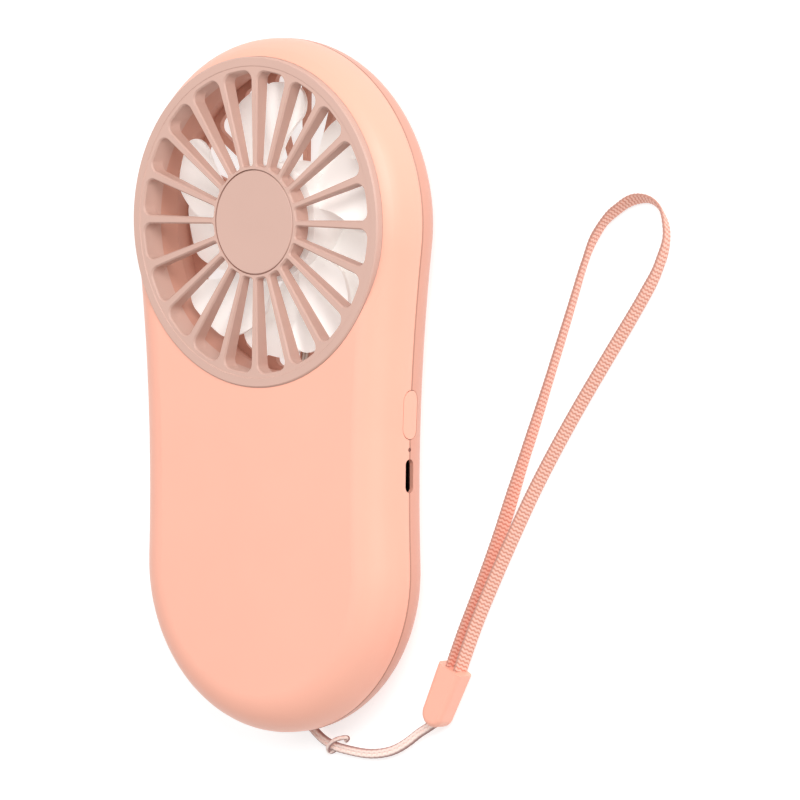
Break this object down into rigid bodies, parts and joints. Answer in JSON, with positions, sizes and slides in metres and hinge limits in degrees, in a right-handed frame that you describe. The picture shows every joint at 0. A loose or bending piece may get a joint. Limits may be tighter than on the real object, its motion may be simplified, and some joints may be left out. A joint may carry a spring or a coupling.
{
  "type": "handheld electric fan",
  "caption": "Slim pocket fan: round ducted head with radial-rib grille, two-tier impeller, hand-held casing, side button and charging socket, cord-and-strap wrist lanyard.",
  "frame": {"origin": "centre of the fan's footprint on its rear face, the fan lying on its back", "axes": "+Y to the fan head, +Z out of the front grille, +X to the button and charging socket side"},
  "size_m": [0.1419, 0.1553, 0.0184],
  "materials": {
    "shell_plastic": "soft-touch satin, coral pink",
    "grille_plastic": "satin, dusty pink",
    "blade_plastic": "satin, off-white",
    "button_plastic": "satin, coral pink",
    "clasp_plastic": "satin, coral",
    "lanyard_fabric": "braided polyester, pale pink",
    "strap_fabric": "woven polyester, pink",
    "screw_steel": "zinc plated",
    "motor_steel": "drawn steel",
    "socket_steel": "tinned steel",
    "bronze": "sintered bronze",
    "copper": "enamelled copper on steel",
    "magnet": "sintered ferrite",
    "dark_plastic": "matt black",
    "board_green": "solder mask",
    "led_lens": "clear, water white",
    "foam": "closed-cell foam",
    "battery_foil": "laminated pouch foil",
    "wire_jacket": "PVC"
  },
  "bodies": {
    "casing": {"front_shell": "shell_plastic", "rear_shell": "shell_plastic", "lanyard_pin": "shell_plastic", "case_screws": "screw_steel", "front_grille": "grille_plastic", "hub_cap": "grille_plastic", "rear_grille": "grille_plastic", "duct_sleeve": "grille_plastic", "motor_end_bell": "dark_plastic", "motor_can": "motor_steel", "motor_magnets": "magnet", "motor_bushes": "bronze", "motor_screws": "screw_steel", "circuit_board": "board_green", "board_components": "dark_plastic", "usb_socket": "socket_steel", "usb_tongue": "dark_plastic", "charge_led": "led_lens", "light_pipe": "led_lens", "switch_body": "socket_steel", "board_screws": "screw_steel", "battery_foam": "foam", "battery_cell": "battery_foil", "battery_leads": "wire_jacket", "motor_leads": "wire_jacket", "lanyard_cord": "lanyard_fabric", "wrist_strap": "strap_fabric", "strap_clasp": "clasp_plastic"},
    "rotor": {"motor_shaft": "motor_steel", "motor_armature": "copper", "front_impeller": "blade_plastic", "rear_impeller": "blade_plastic"},
    "button": {"power_button": "button_plastic"},
    "plunger": {"switch_plunger": "dark_plastic"}
  },
  "joints": [
    {"name": "rotor_spin", "type": "hinge", "parent": "casing", "child": "rotor", "pos_m": [0, 0.0355, 0.008], "axis": [0, 0, 1], "continuous": true},
    {"name": "button_press", "type": "slide", "parent": "casing", "child": "button", "axis": [-1, 0, 0], "range_m": [0, 0.0004], "stiffness_N_per_m": 400},
    {"name": "plunger_press", "type": "slide", "parent": "casing", "child": "plunger", "axis": [-1, 0, 0], "range_m": [0, 0.0004]}
  ],
  "couplings": [
    {"joint": "plunger_press", "follows": "button_press", "ratio": 1}
  ]
}
